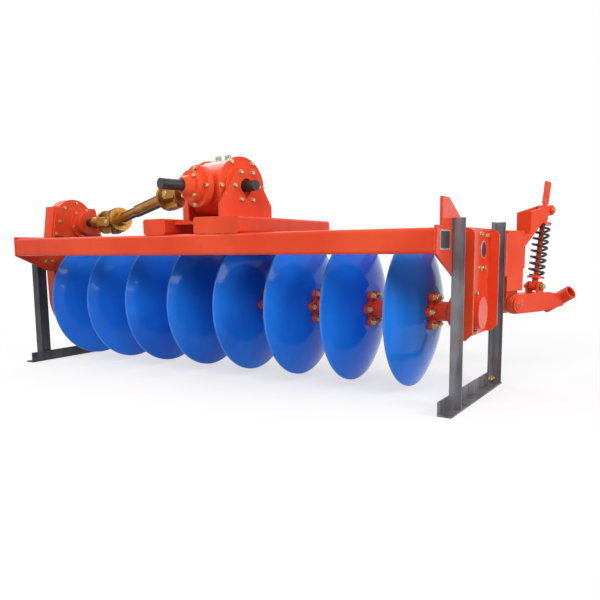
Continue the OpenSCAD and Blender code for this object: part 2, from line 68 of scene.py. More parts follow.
ALONG = Vector((1.0, 0.0, 0.0))
SIDES = (-1.0, 1.0)
HEXAGON = 6
WHITE = (1.0, 1.0, 1.0, 1.0)

Pair = tuple[float, float]
Triple = tuple[float, float, float]
Colour = tuple[float, float, float, float]
Mesh = bmesh.types.BMesh
Material = bpy.types.Material
Socket = bpy.types.NodeSocket


class Slot(Enum):
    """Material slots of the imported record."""

    RED = "frame_red"
    SPRING = "spring_black"


class Body(Enum):
    """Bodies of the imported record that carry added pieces."""

    FRAME = "frame"
    GANG = "gang"
    OUTPUT = "output_drive"
    CARDAN = "cardan"
    SIDE = "side_drive"
    TAIL = "tail"
    ROD = "rod"


def srgb(red: int, green: int, blue: int) -> Colour:
    """Turns an 8-bit display colour into a scene-linear one.

    Args:
        red: Red from 0 to 255.
        green: Green from 0 to 255.
        blue: Blue from 0 to 255.

    Returns:
        The linear colour with full alpha.
    """

    def linear(value: int) -> float:
        """Undoes the display curve of one channel."""
        share = value / 255.0
        return share / 12.92 if share <= 0.04045 else ((share + 0.055) / 1.055) ** 2.4

    return (linear(red), linear(green), linear(blue), 1.0)


@dataclass(frozen=True)
class Pattern:
    """A noise pattern whose values from low to high are mapped onto another stretch."""

    scale: float
    detail: float
    low: float
    high: float
    to: Pair = (0.0, 1.0)
    stretch: Triple = (1.0, 1.0, 1.0)


@dataclass(frozen=True)
class Relief:
    """A fine noise relief, with its depth in metres."""

    scale: float
    detail: float
    depth: float


class NodePen:
    """Writes nodes into a tree."""

    def __init__(self, tree: bpy.types.NodeTree) -> None:
        """Takes the tree that the nodes go into."""
        self.tree = tree

    def feed(self, socket: Socket, value: Any) -> None:
        """Links a socket into another, or sets its own value."""
        if isinstance(value, bpy.types.NodeSocket):
            self.tree.links.new(value, socket)
        else:
            socket.default_value = value

    def node(self, kind: str, inputs: dict | None = None, **settings: Any) -> bpy.types.Node:
        """Adds a node.

        Args:
            kind: The node's type name.
            inputs: Values or sockets by input name or number.
            settings: Properties of the node.

        Returns:
            The new node.
        """
        made = self.tree.nodes.new(kind)
        for key, value in settings.items():
            setattr(made, key, value)
        for key, value in (inputs or {}).items():
            self.feed(made.inputs[key], value)
        return made

    def band(self, value: Socket, low: float, high: float, to: Pair = (0.0, 1.0)) -> Socket:
        """Maps the stretch from low to high onto another one, clamped.

        Args:
            value: What is mapped.
            low: Start of the stretch.
            high: End of the stretch.
            to: What low and high become.

        Returns:
            The mapped value.
        """
        inputs = {0: value, 1: low, 2: high, 3: to[0], 4: to[1]}
        return self.node("ShaderNodeMapRange", inputs).outputs[0]

    def calc(self, operation: str, first: Any, second: Any = 0.0) -> Socket:
        """Adds a Math node and gives its result."""
        return self.node("ShaderNodeMath", {0: first, 1: second}, operation=operation).outputs[0]

    def mix(self, factor: Any, first: Any, second: Any) -> Socket:
        """Blends two colours by a factor and gives the result."""
        inputs = {0: factor, 6: first, 7: second}
        return self.node("ShaderNodeMix", inputs, data_type="RGBA").outputs[2]

    def backdrop(self, ambient: float) -> Socket:
        """Gives full white to the rays that show the backdrop, and less to those that light.

        Args:
            ambient: The level that lights the plough.

        Returns:
            The level.
        """
        path = self.node("ShaderNodeLightPath").outputs
        seen = self.calc("MAXIMUM", path["Is Camera Ray"], path["Is Glossy Ray"])
        seen = self.calc("MAXIMUM", seen, path["Is Transmission Ray"])
        return self.band(seen, 0.0, 1.0, (ambient, 1.0))


class ShaderPen(NodePen):
    """Writes the node tree of one material around its own shader."""

    BEVEL_SAMPLES = 4
    EDGE_BAND = (0.99, 0.90)

    def __init__(self, name: str) -> None:
        """Starts a material whose patterns lie on Object coordinates."""
        self.material = bpy.data.materials.new(name)
        self.material.use_nodes = True
        super().__init__(self.material.node_tree)
        self.shader = self.tree.nodes["Principled BSDF"]
        self.place = self.node("ShaderNodeTexCoord").outputs["Object"]

    def set(self, **values: Any) -> None:
        """Sets the shader's sockets, with underscores for the spaces in their names."""
        for key, value in values.items():
            self.feed(self.shader.inputs[key.replace("_", " ")], value)

    def noise(self, scale: float, detail: float, stretch: Triple = (1.0, 1.0, 1.0)) -> Socket:
        """Adds noise.

        Args:
            scale: Features per metre, roughly.
            detail: Octaves of finer noise.
            stretch: Scale along each axis.

        Returns:
            The noise value.
        """
        vector = self.node("ShaderNodeMapping", {"Vector": self.place, "Scale": stretch})
        inputs = {"Vector": vector.outputs[0], "Scale": scale, "Detail": detail}
        return self.node("ShaderNodeTexNoise", inputs).outputs[0]

    def pattern(self, pattern: Pattern) -> Socket:
        """Adds a noise pattern and gives its mapped value."""
        noise = self.noise(pattern.scale, pattern.detail, pattern.stretch)
        return self.band(noise, pattern.low, pattern.high, pattern.to)

    def height(self) -> Socket:
        """Gives the height over the floor."""
        return self.node("ShaderNodeSeparateXYZ", {0: self.place}).outputs[2]

    def soft_normal(self, radius: float) -> Socket:
        """Gives normals that are rounded over sharp edges by a radius."""
        bevel = self.node("ShaderNodeBevel", {"Radius": radius}, samples=self.BEVEL_SAMPLES)
        return bevel.outputs[0]

    def edges(self, normal: Socket) -> Socket:
        """Gives a mask of the edges that soft_normal has rounded."""
        true = self.node("ShaderNodeNewGeometry").outputs["Normal"]
        dot = self.node("ShaderNodeVectorMath", {0: normal, 1: true}, operation="DOT_PRODUCT")
        return self.band(dot.outputs["Value"], *self.EDGE_BAND)

    def relief(self, relief: Relief, normal: Socket) -> Socket:
        """Raises a surface by a noise relief.

        Args:
            relief: The relief.
            normal: The normals that it starts from.

        Returns:
            The new normals.
        """
        height = self.noise(relief.scale, relief.detail)
        inputs = {"Height": height, "Distance": relief.depth, "Strength": 1.0, "Normal": normal}
        return self.node("ShaderNodeBump", inputs).outputs[0]


@dataclass(frozen=True)
class Enamel:
    """Sprayed gloss enamel with a slight peel, clouded colour and paler edges, partly rubbed paint
    and partly a painted highlight.
    """

    name: str
    deep: Colour
    bright: Colour
    # Paler colour of edges and rims: partly rubbed paint, partly a painted highlight.
    rubbed: Colour
    grime: Colour
    gloss: Pattern = Pattern(11.0, 5.0, 0.3, 0.7, (0.14, 0.26))
    coat: float = 0.06
    coat_roughness: float = 0.06
    sheen: float = 0.12
    edge_radius: float = 0.003
    peel: Relief = Relief(190.0, 2.0, 0.00006)
    clouds: Pattern = Pattern(2.4, 4.0, 0.36, 0.64)
    breaks: Pattern = Pattern(55.0, 5.0, 0.42, 0.62)
    chips: Pattern = Pattern(120.0, 2.0, 0.735, 0.75, (0.0, 0.7))
    smears: Pattern = Pattern(9.0, 6.0, 0.58, 0.80, (0.0, 0.30), (1.0, 1.0, 0.35))

    def colour(self, pen: ShaderPen, edge: Socket) -> Socket:
        """Mixes the clouded coat with paler edges, partly rubbed paint and partly a painted
        highlight, and small dark chips.

        Args:
            pen: The material's pen.
            edge: Mask of the sharp edges.

        Returns:
            The colour.
        """
        coat = pen.mix(pen.pattern(self.clouds), self.deep, self.bright)
        # Edges painted paler: partly rubbed paint, partly a painted highlight.
        rubbed_edge_and_highlight = pen.calc("MULTIPLY", edge, pen.pattern(self.breaks))
        rubbed = pen.mix(rubbed_edge_and_highlight, coat, self.rubbed)
        dirty = pen.mix(pen.pattern(self.smears), rubbed, self.grime)
        return pen.mix(pen.pattern(self.chips), dirty, self.grime)

    def material(self) -> Material:
        """Builds the material."""
        pen = ShaderPen(self.name)
        normal = pen.soft_normal(self.edge_radius)
        pen.set(Base_Color=self.colour(pen, pen.edges(normal)))
        pen.set(Roughness=pen.pattern(self.gloss))
        pen.set(Normal=pen.relief(self.peel, normal))
        pen.set(Coat_Weight=self.coat, Coat_Roughness=self.coat_roughness)
        pen.set(Specular_IOR_Level=self.sheen)
        return pen.material


@dataclass(frozen=True)
class DiscEnamel(Enamel):
    """Enamel of the discs, paler at the cutting rims: partly rubbed paint, partly a painted glint.
    """

    axis_y: float = 0.0
    axis_z: float = 0.3
    rim: float = 0.3
    rim_width: float = 0.006
    rim_wear_and_glint: Pattern = Pattern(28.0, 4.0, 0.35, 0.6, (0.10, 0.50))

    def colour(self, pen: ShaderPen, edge: Socket) -> Socket:
        """Adds the pale rims to the enamel, partly rubbed paint and partly a painted glint.

        Args:
            pen: The material's pen.
            edge: Mask of the sharp edges.

        Returns:
            The colour.
        """
        base = super().colour(pen, edge)
        apart = pen.node("ShaderNodeSeparateXYZ", {0: pen.place}).outputs
        across = pen.calc("SUBTRACT", apart[1], self.axis_y)
        above = pen.calc("SUBTRACT", apart[2], self.axis_z)
        squares = [pen.calc("MULTIPLY", side, side) for side in (across, above)]
        radius = pen.calc("SQRT", pen.calc("ADD", *squares))
        # Rims painted paler: partly rubbed paint, partly a painted glint.
        rim = pen.band(radius, self.rim - self.rim_width, self.rim)
        worn_rim_and_glint = pen.calc("MULTIPLY", rim, pen.pattern(self.rim_wear_and_glint))
        return pen.mix(worn_rim_and_glint, base, self.rubbed)


@dataclass(frozen=True)
class MillSteel:
    """Bare rolled angle with blue-grey scale, streaks along it and thin rust."""

    name: str
    dark: Colour
    light: Colour
    rust: Colour
    edge_radius: float = 0.0012
    edge_share: float = 0.6
    streaks: Pattern = Pattern(34.0, 6.0, 0.35, 0.65, stretch=(1.0, 1.0, 0.06))
    clouds: Pattern = Pattern(7.0, 6.0, 0.36, 0.62, stretch=(1.0, 1.0, 0.6))
    scale_band: Pair = (0.35, 1.65)
    patches: Pattern = Pattern(13.0, 7.0, 0.47, 0.64)
    rust_height: float = 0.35
    rust_aloft: float = 0.45
    rust_share: float = 0.75
    rusted: float = 0.6
    metallic: Pair = (0.35, 0.10)
    roughness: Pattern = Pattern(60.0, 4.0, 0.3, 0.7, (0.45, 0.62))
    grain: Relief = Relief(140.0, 6.0, 0.00012)

    def material(self) -> Material:
        """Builds the material, with more rust towards the floor."""
        pen = ShaderPen(self.name)
        normal = pen.soft_normal(self.edge_radius)
        mottle = pen.calc("ADD", pen.pattern(self.streaks), pen.pattern(self.clouds))
        scale = pen.mix(pen.band(mottle, *self.scale_band), self.dark, self.light)
        low = pen.band(pen.height(), self.rust_height, 0.0, (self.rust_aloft, 1.0))
        patch = pen.calc("MULTIPLY", pen.pattern(self.patches), low)
        rust = pen.calc("MULTIPLY", patch, self.rust_share)
        edge = pen.calc("MULTIPLY", pen.edges(normal), self.edge_share)
        rubbed = pen.mix(edge, scale, self.light)
        pen.set(Base_Color=pen.mix(rust, rubbed, self.rust))
        pen.set(Metallic=pen.band(rust, 0.0, self.rusted, self.metallic))
        pen.set(Roughness=pen.pattern(self.roughness))
        pen.set(Normal=pen.relief(self.grain, normal))
        return pen.material


@dataclass(frozen=True)
class Plated:
    """Zinc or another thin finish whose tint drifts over the surface."""

    name: str
    base: Colour
    tint: Colour
    stain: Colour
    roughness: Pair = (0.26, 0.46)
    metallic: float = 0.85
    drift: float = 18.0
    drift_band: Pair = (0.35, 0.65)
    octaves: float = 4.0
    spot_ratio: float = 3.1
    spot_band: Pair = (0.58, 0.72)
    spot_octaves: float = 6.0
    spot_share: float = 0.55
    rough_scale: float = 80.0
    rough_band: Pair = (0.3, 0.7)
    edge_radius: float = 0.0008
    grain: Relief = Relief(420.0, 3.0, 0.00004)

    def material(self) -> Material:
        """Builds the material."""
        pen = ShaderPen(self.name)
        normal = pen.soft_normal(self.edge_radius)
        drift = Pattern(self.drift, self.octaves, *self.drift_band)
        spread, share = self.drift * self.spot_ratio, (0.0, self.spot_share)
        spots = Pattern(spread, self.spot_octaves, *self.spot_band, share)
        rough = Pattern(self.rough_scale, self.octaves, *self.rough_band, self.roughness)
        tinted = pen.mix(pen.pattern(drift), self.base, self.tint)
        pen.set(Base_Color=pen.mix(pen.pattern(spots), tinted, self.stain))
        pen.set(Roughness=pen.pattern(rough))
        pen.set(Normal=pen.relief(self.grain, normal), Metallic=self.metallic)
        return pen.material


@dataclass(frozen=True)
class Palette:
    """The finished materials."""

    red: Material
    blue: Material
    steel: Material
    painted_shade_steel: Material
    gold: Material
    black: Material
    spring: Material
    bolt: Material
    plug: Material
    plate: Material
    field: Material

    @classmethod
    def mixed(cls) -> "Palette":
        """Builds every material once."""
        low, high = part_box("discs")
        axis = Vector(JOINTS["gang_spin"]["pos_m"])
        finishes = {
            "red": Enamel(
                "red_enamel",
                deep=srgb(222, 64, 34),
                bright=srgb(236, 84, 48),
                # Paler edges: partly rubbed paint, partly a painted highlight.
                rubbed=srgb(242, 136, 100),
                grime=srgb(138, 36, 22),
            ),
            "blue": DiscEnamel(
                "blue_enamel",
                deep=srgb(28, 106, 218),
                bright=srgb(36, 132, 244),
                # Paler edges and rims: partly rubbed paint, partly a painted glint.
                rubbed=srgb(88, 148, 228),
                grime=srgb(24, 66, 156),
                gloss=replace(Enamel.gloss, to=(0.08, 0.16)),
                coat=0.05,
                axis_y=axis.y,
                axis_z=axis.z,
                rim=(high.z - low.z) / 2,
            ),
            "steel": MillSteel(
                "rolled_angle", srgb(66, 68, 75), srgb(124, 125, 131), srgb(108, 88, 82)
            ),
            "gold": Plated(
                "yellow_zinc", srgb(150, 102, 38), srgb(178, 128, 56), srgb(100, 64, 34)
            ),
            "black": Plated(
                "oiled_black",
                srgb(36, 34, 37),
                srgb(58, 55, 58),
                srgb(24, 20, 20),
                roughness=(0.28, 0.5),
                metallic=0.35,
            ),
            "spring": Plated(
                "spring_paint",
                srgb(12, 12, 13),
                srgb(26, 26, 28),
                srgb(48, 34, 28),
                roughness=(0.3, 0.55),
                metallic=0.1,
            ),
            # Darker copy of the rolled angle, as painted shade on the left stand.
            "painted_shade_steel": MillSteel(
                "painted_shade_rolled_angle", srgb(38, 38, 43), srgb(78, 78, 83), srgb(70, 56, 50)
            ),
            "bolt": Plated(
                "bolt_zinc",
                srgb(186, 152, 98),
                srgb(204, 186, 146),
                srgb(120, 88, 54),
                drift=60.0,
            ),
            "plug": Plated(
                "grey_zinc", srgb(158, 156, 146), srgb(190, 188, 176), srgb(112, 106, 96)
            ),
            "plate": Plated(
                "plate_metal", srgb(186, 186, 182), srgb(206, 206, 202), srgb(140, 138, 132)
            ),
            "field": Plated(
                "plate_field",
                srgb(34, 34, 36),
                srgb(48, 48, 50),
                srgb(70, 68, 66),
                roughness=(0.35, 0.5),
                metallic=0.0,
            ),
        }
        return cls(**{key: finish.material() for key, finish in finishes.items()})


def facing(origin: Vector, direction: Vector) -> Matrix:
    """Places a shape whose own Z axis then points in a direction.

    Args:
        origin: Where the shape's origin goes.
        direction: Where its Z axis points.

    Returns:
        The placement.
    """
    return Matrix.Translation(origin) @ direction.to_track_quat("Z", "Y").to_matrix().to_4x4()


def joint_frame(name: str) -> Matrix:
    """Gives a level frame at a joint, with X along its axis.

    Args:
        name: The joint's name.

    Returns:
        The frame as a placement.
    """
    along = Vector(JOINTS[name]["axis"]).normalized()
    back = UP.cross(along).normalized()
    turn = Matrix((along, back, along.cross(back))).transposed().to_4x4()
    return Matrix.Translation(JOINTS[name]["pos_m"]) @ turn


@dataclass(frozen=True)
class Ring:
    """Points spread evenly over a circle, from a start angle in degrees."""

    count: int
    radius: float
    start: float = 0.0

    def spots(self) -> list[Pair]:
        """Gives the points' two coordinates."""
        turns = [math.radians(self.start + 360.0 * k / self.count) for k in range(self.count)]
        return [(self.radius * math.cos(turn), self.radius * math.sin(turn)) for turn in turns]


@dataclass(frozen=True)
class Drum:
    """A closed straight or tapered drum along Z, with a radius at each end."""

    sides: int
    low: float
    high: float
    low_radius: float
    high_radius: float

    def set(self, bm: Mesh, place: Matrix) -> None:
        """Adds the drum.

        Args:
            bm: The mesh.
            place: The drum's frame.
        """
        bmesh.ops.create_cone(
            bm,
            cap_ends=True,
            cap_tris=False,
            segments=self.sides,
            radius1=self.low_radius,
            radius2=self.high_radius,
            depth=self.high - self.low,
            matrix=place @ Matrix.Translation((0.0, 0.0, (self.low + self.high) / 2)),
        )


@dataclass(frozen=True)
class Turned:
    """A turned piece, built of drums end to end."""

    drums: tuple[Drum, ...]

    def set(self, bm: Mesh, place: Matrix) -> None:
        """Adds the piece.

        Args:
            bm: The mesh.
            place: Its seat, with Z pointing out of it.
        """
        for drum in self.drums:
            drum.set(bm, place)


@dataclass(frozen=True)
class Bolt:
    """A hexagon bolt or nut with a washer, and a stud end where it has one."""

    radius: float
    head: float
    washer: float
    stud: float = 0.0
    washer_height: float = 0.0025
    washer_taper: float = 0.96
    washer_sides: int = 20
    flats: float = 0.78
    chamfer: float = 0.86
    stud_root: float = 0.52
    stud_tip: float = 0.46
    stud_sides: int = 14

    def set(self, bm: Mesh, place: Matrix) -> None:
        """Adds the bolt, seated on the placement's XY plane.

        Args:
            bm: The mesh.
            place: The seat, with Z pointing out of it.
        """
        base = self.washer_height
        shoulder = base + self.flats * self.head
        top = base + self.head
        rim = self.washer * self.washer_taper
        Drum(self.washer_sides, 0.0, base, self.washer, rim).set(bm, place)
        Drum(HEXAGON, base, shoulder, self.radius, self.radius).set(bm, place)
        Drum(HEXAGON, shoulder, top, self.radius, self.radius * self.chamfer).set(bm, place)
        if self.stud > 0:
            root, tip = self.radius * self.stud_root, self.radius * self.stud_tip
            Drum(self.stud_sides, top, top + self.stud, root, tip).set(bm, place)


@dataclass(frozen=True)
class Weld:
    """A run of weld, laid as a row of overlapping beads."""

    size: float = 0.0045
    pitch: float = 0.0058
    flat: float = 0.8

    def lay(self, bm: Mesh, start: Vector, end: Vector) -> None:
        """Adds a straight run between two points.

        Args:
            bm: The mesh.
            start: Where it starts.
            end: Where it ends.
        """
        run = end - start
        count = max(2, round(run.length / self.pitch))
        turn = run.to_track_quat("Z", "Y").to_matrix().to_4x4()
        bead = turn @ Matrix.Diagonal((1.0, 1.0, self.flat, 1.0))
        for step in range(count + 1):
            spot = Matrix.Translation(start + run * (step / count))
            bmesh.ops.create_icosphere(bm, subdivisions=1, radius=self.size, matrix=spot @ bead)


@dataclass
class Assembly:
    """What every sub-assembly shares: painting solids and adding pieces."""

    palette: Palette

    def paint(self, material: Material, names: Iterable[str]) -> None:
        """Gives solids a material.

        Args:
            material: The finish.
            names: The solids' names.
        """
        for name in names:
            mesh = frame["nodes"][name].data
            mesh.materials.clear()
            mesh.materials.append(material)

    def add(
        self,
        name: str,
        bm: Mesh,
        material: Material,
        body: Body,
        slot: Slot | None = None,
        smooth: float = 32.0,
    ) -> bpy.types.Object:
        """Makes a piece from a mesh and lets it ride on a body.

        Args:
            name: The piece's name.
            bm: Its mesh, which is freed.
            material: Its finish.
            body: What it moves with.
            slot: The record's slot that its finish follows; not used.
            smooth: Edges flatter than this many degrees are shaded smooth.

        Returns:
            The new object.
        """
        bmesh.ops.recalc_face_normals(bm, faces=bm.faces[:])
        limit = math.radians(smooth)
        for face in bm.faces:
            face.smooth = True
        for edge in bm.edges:
            edge.smooth = edge.calc_face_angle(math.pi) < limit
        mesh = bpy.data.meshes.new(name)
        bm.to_mesh(mesh)
        bm.free()
        mesh.materials.append(material)
        made = bpy.data.objects.new(name, mesh)
        bpy.context.scene.collection.objects.link(made)
        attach(made, body.value)
        LOG.info("%s: %d faces on %s", name, len(mesh.polygons), body.value)
        return made

    def bolts(self, name: str, bolt: Bolt, seats: Iterable[Matrix], body: Body) -> None:
        """Makes one piece of like bolts.

        Args:
            name: The piece's name.
            bolt: The bolt.
            seats: Where each one sits.
            body: What they move with.
        """
        bm = bmesh.new()
        for seat in seats:
            bolt.set(bm, seat)
        self.add(name, bm, self.palette.bolt, body, smooth=25.0)

    def welds(self, name: str, runs: Iterable[tuple[Vector, Vector]], body: Body) -> None:
        """Makes one piece of painted weld runs.

        Args:
            name: The piece's name.
            runs: Start and end of each run.
            body: What they move with.
        """
        bm, weld = bmesh.new(), Weld()
        for start, end in runs:
            weld.lay(bm, start, end)
        self.add(name, bm, self.palette.red, body, Slot.RED, smooth=80.0)


@dataclass
class MainFrame(Assembly):
    """Beams, rails and end plates, with their welds and a blank plate."""

    plate_width: float = 0.094
    plate_height: float = 0.065
    plate_from_front: float = 0.028
    plate_from_top: float = 0.014
    plate_thick: float = 0.0016
    plate_round: float = 0.003
    lifts: Pair = (0.0008, 0.0012)
    border: float = 0.005
    rivet_inset: float = 0.0035
    rivet: Drum = Drum(10, 0.0, 0.0014, 0.0022, 0.0014)
    corner: float = 0.012
    weld_sink: float = 0.003
    weld_inset: float = 0.004

    def build(self) -> None:
        """Paints the frame and adds its pieces."""
        self.paint(self.palette.red, ("front_beam", "rear_beam", "left_rail", "right_rail"))
        self.paint(self.palette.red, ("rail_bridge", "end_upright"))
        self.paint(self.palette.red, ("left_end_plate", "right_end_plate"))
        self.seams()
        self.name_plate()

    def seams(self) -> None:
        """Welds the rails to the front beam and the beams to the end plates."""
        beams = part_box("front_beam"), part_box("rear_beam")
        depth = beams[0][1].z - self.weld_sink
        runs = []
        for rail in ("left_rail", "right_rail"):
            low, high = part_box(rail)
            y = low.y + self.weld_inset
            start = Vector((low.x + self.corner, y, depth))
            runs.append((start, Vector((high.x - self.corner, y, depth))))
        for low, high in beams:
            for x in (low.x, high.x):
                for y in (low.y, high.y):
                    start = Vector((x, y, low.z + self.corner))
                    runs.append((start, Vector((x, y, high.z - self.corner))))
        self.welds("frame_welds", runs, Body.FRAME)

    def name_plate(self) -> None:
        """Fixes a blank plate with four rivets on the right end plate."""
        low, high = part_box("right_end_plate")
        y = low.y + self.plate_from_front + self.plate_width / 2
        z = high.z - self.plate_from_top - self.plate_height / 2
        centre = Vector((high.x, y, z))
        self.layer("name_plate", self.palette.plate, centre, self.lifts[0], 0.0)
        self.layer("name_plate_field", self.palette.field, centre, self.lifts[1], self.border)
        bm = bmesh.new()
        for side in SIDES:
            for level in SIDES:
                across = side * (self.plate_width / 2 - self.rivet_inset)
                above = level * (self.plate_height / 2 - self.rivet_inset)
                spot = centre + Vector((self.plate_thick, across, above))
                self.rivet.set(bm, facing(spot, ALONG))
        self.add("name_plate_rivets", bm, self.palette.plug, Body.FRAME)

    def layer(
        self, name: str, material: Material, centre: Vector, lift: float, inset: float
    ) -> None:
        """Adds one layer of the blank plate, with rounded corners.

        Args:
            name: The piece's name.
            material: Its finish.
            centre: The plate's middle on the end plate.
            lift: How far the layer's middle stands off.
            inset: How far its edges lie inside the plate's.
        """
        bm = bmesh.new()
        width, height = self.plate_width - 2 * inset, self.plate_height - 2 * inset
        size = Matrix.Diagonal((self.plate_thick, width, height, 1.0))
        place = Matrix.Translation(centre + lift * ALONG)
        bmesh.ops.create_cube(bm, size=1.0, matrix=place @ size)
        ways = {edge: (edge.verts[0].co - edge.verts[1].co).normalized() for edge in bm.edges}
        through = [edge for edge, way in ways.items() if abs(way.x) > 0.9]
        bmesh.ops.bevel(
            bm,
            geom=through,
            offset=self.plate_round,
            offset_type="OFFSET",
            segments=3,
            profile=0.5,
            affect="EDGES",
            material=-1,
        )
        self.add(name, bm, material, Body.FRAME)


@dataclass
class Gearbox(Assembly):
    """Bevel gearbox on its two support plates, with the input and output shafts."""

    plate_ring: Ring = Ring(6, 0.061)
    flange_ring: Ring = Ring(6, 0.108)
    flange_low: float = -0.02
    end_cap: float = 0.012
    input_ring: Ring = Ring(4, 0.070)
    cap_ring: Ring = Ring(4, 0.052, 45.0)
    cone: float = 0.035
    barrel: float = 0.111
    plug_places: Pair = (-0.040, 0.022)
    plug: Turned = Turned((
        Drum(HEXAGON, 0.0, 0.008, 0.0130, 0.0130),
        Drum(24, 0.008, 0.018, 0.0125, 0.0135),
        Drum(24, 0.018, 0.022, 0.0135, 0.009),
    ))
    weld_rise: float = 0.001
    weld_ends: Pair = (0.012, 0.004)
    plate_bolt: Bolt = Bolt(0.0085, 0.0075, 0.0100)
    small_bolt: Bolt = Bolt(0.0065, 0.006, 0.0078)

    def __post_init__(self) -> None:
        """Takes the gearbox's own frame from its output shaft."""
        self.place = joint_frame("output_spin")

    def build(self) -> None:
        """Paints the gearbox and adds its pieces."""
        self.paint(self.palette.red, ("gearbox_case", "input_cap", "right_support", "left_support"))
        self.paint(self.palette.black, ("pto_shaft", "output_shaft"))
        self.fasten()
        self.plugs()
        self.seams()

    def reach(self, node: str, axis: int) -> Pair:
        """Measures a solid along one axis of the gearbox's own frame.

        Args:
            node: The solid.
            axis: Which axis of the frame.

        Returns:
            Its lowest and highest place.
        """
        back = self.place.inverted()
        spots = [(back @ vertex.co)[axis] for vertex in frame["nodes"][node].data.vertices]
        return min(spots), max(spots)

    def seat(self, spot: Triple, direction: Triple) -> Matrix:
        """Turns a seat of the gearbox's own frame into the shared one.

        Args:
            spot: The seat's place.
            direction: The way that it faces.

        Returns:
            The seat's placement.
        """
        return facing(self.place @ Vector(spot), self.place.to_3x3() @ Vector(direction))

    def fasten(self) -> None:
        """Bolts the support plates, the end flanges, the input flange and its cap."""
        inner, outer = self.reach("right_support", 0)
        flange = inner - self.end_cap
        disc = self.plate_ring.spots()
        rim = [(y, z) for y, z in self.flange_ring.spots() if z > self.flange_low]
        plates, flanges = [], []
        for side in SIDES:
            out = (side, 0.0, 0.0)
            plates += [self.seat((side * outer, y, z), out) for y, z in disc]
            flanges += [self.seat((side * flange, y, z), out) for y, z in rim]
        front = (0.0, -1.0, 0.0)
        nose, root = self.reach("input_cap", 1)
        face, step = root - self.end_cap, nose + self.cone
        inputs = [self.seat((x, face, z), front) for x, z in self.input_ring.spots()]
        caps = [self.seat((x, step, z), front) for x, z in self.cap_ring.spots()]
        self.bolts("support_bolts", self.plate_bolt, plates, Body.FRAME)
        self.bolts("flange_bolts", self.plate_bolt, flanges, Body.FRAME)
        self.bolts("input_flange_bolts", self.plate_bolt, inputs, Body.FRAME)
        self.bolts("input_cap_bolts", self.small_bolt, caps, Body.FRAME)

    def plugs(self) -> None:
        """Sets two breather plugs on top of the barrel."""
        bm = bmesh.new()
        for along in self.plug_places:
            self.plug.set(bm, self.seat((along, 0.0, self.barrel), (0.0, 0.0, 1.0)))
        self.add("breather_plugs", bm, self.palette.plug, Body.FRAME)

    def seams(self) -> None:
        """Welds the feet of the support plates."""
        inner, outer = self.reach("right_support", 0)
        front, rear = self.weld_ends
        runs = []
        for node, faces in (("right_support", (inner, outer)), ("left_support", (-inner, -outer))):
            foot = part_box(node)[0].z - self.place.translation.z + self.weld_rise
            low, high = self.reach(node, 1)
            for x in faces:
                start = self.place @ Vector((x, low + front, foot))
                runs.append((start, self.place @ Vector((x, high - rear, foot))))
        self.welds("support_welds", runs, Body.FRAME)


@dataclass
class SideCase(Assembly):
    """Gear case on the left end, its bolted cover and the hub of its input shaft."""

    cover_ring: Ring = Ring(8, 0.104, -3.0)
    cover_low: float = -0.03
    dome_back: float = -0.042
    corner: float = 0.016
    hub_ring: Ring = Ring(6, 0.071, 15.0)
    hub_flange: float = 0.014
    cover_bolt: Bolt = Bolt(0.0080, 0.0070, 0.0095)
    hub_bolt: Bolt = Bolt(0.0062, 0.0055, 0.0074)

    def build(self) -> None:
        """Paints the case and bolts its cover and hub."""
        self.paint(self.palette.red, ("side_case", "side_cover", "side_hub"))
        self.paint(self.palette.black, ("side_shaft",))
        self.paint(self.palette.gold, ("side_yoke", "side_cross"))
        low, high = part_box("side_cover")
        axis = Vector(JOINTS["side_spin"]["pos_m"])
        dome = axis.y + self.dome_back
        rim = [(y, z) for y, z in self.cover_ring.spots() if z > self.cover_low]
        cover = [Vector((high.x, dome + y, axis.z + z)) for y, z in rim]
        for y in (low.y + self.corner, high.y - self.corner):
            cover.append(Vector((high.x, y, low.z + self.corner)))
        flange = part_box("side_hub")[0].x + self.hub_flange
        hub = [Vector((flange, axis.y + y, axis.z + z)) for y, z in self.hub_ring.spots()]
        for name, bolt, spots in (
            ("side_cover_bolts", self.cover_bolt, cover),
            ("side_hub_bolts", self.hub_bolt, hub),
        ):
            self.bolts(name, bolt, [facing(spot, ALONG) for spot in spots], Body.FRAME)


@dataclass
class Bearing(Assembly):
    """Right gang bearing in its channel."""

    rows: tuple[Pair, ...] = ((0.042, 0.018), (0.127, 0.023), (0.038, 0.145), (0.094, 0.146))
    web: float = 0.008
    housing_ring: Ring = Ring(6, 0.073, 30.0)
    label: Drum = Drum(48, 0.0, 0.0012, 0.034, 0.0336)
    label_field: Drum = Drum(48, 0.0, 0.0016, 0.029, 0.0286)
    label_across: float = 0.086
    label_drop: float = 0.075
    weld_drops: Pair = (0.170, 0.010)
    bolt: Bolt = Bolt(0.0085, 0.0075, 0.0105)

    def build(self) -> None:
        """Paints the bearing, bolts it and sets a small round blank plate."""
        self.paint(self.palette.red, ("bearing_channel", "bearing_housing", "bearing_cover"))
        low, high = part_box("bearing_channel")
        axis = Vector(JOINTS["gang_spin"]["pos_m"])
        face = low.x + self.web
        rim = self.housing_ring.spots()
        seats = [Vector((face, axis.y + y, high.z - drop)) for y, drop in self.rows]
        seats += [Vector((face, axis.y + y, axis.z + z)) for y, z in rim]
        self.bolts("channel_bolts", self.bolt, [facing(s, ALONG) for s in seats], Body.FRAME)
        spot = Vector((face, axis.y + self.label_across, high.z - self.label_drop))
        for name, label, material in (
            ("bearing_plate", self.label, self.palette.plate),
            ("bearing_plate_field", self.label_field, self.palette.field),
        ):
            bm = bmesh.new()
            label.set(bm, facing(spot, ALONG))
            self.add(name, bm, material, Body.FRAME)
        start, end = (Vector((low.x, low.y, high.z - drop)) for drop in self.weld_drops)
        self.welds("channel_welds", [(start, end)], Body.FRAME)


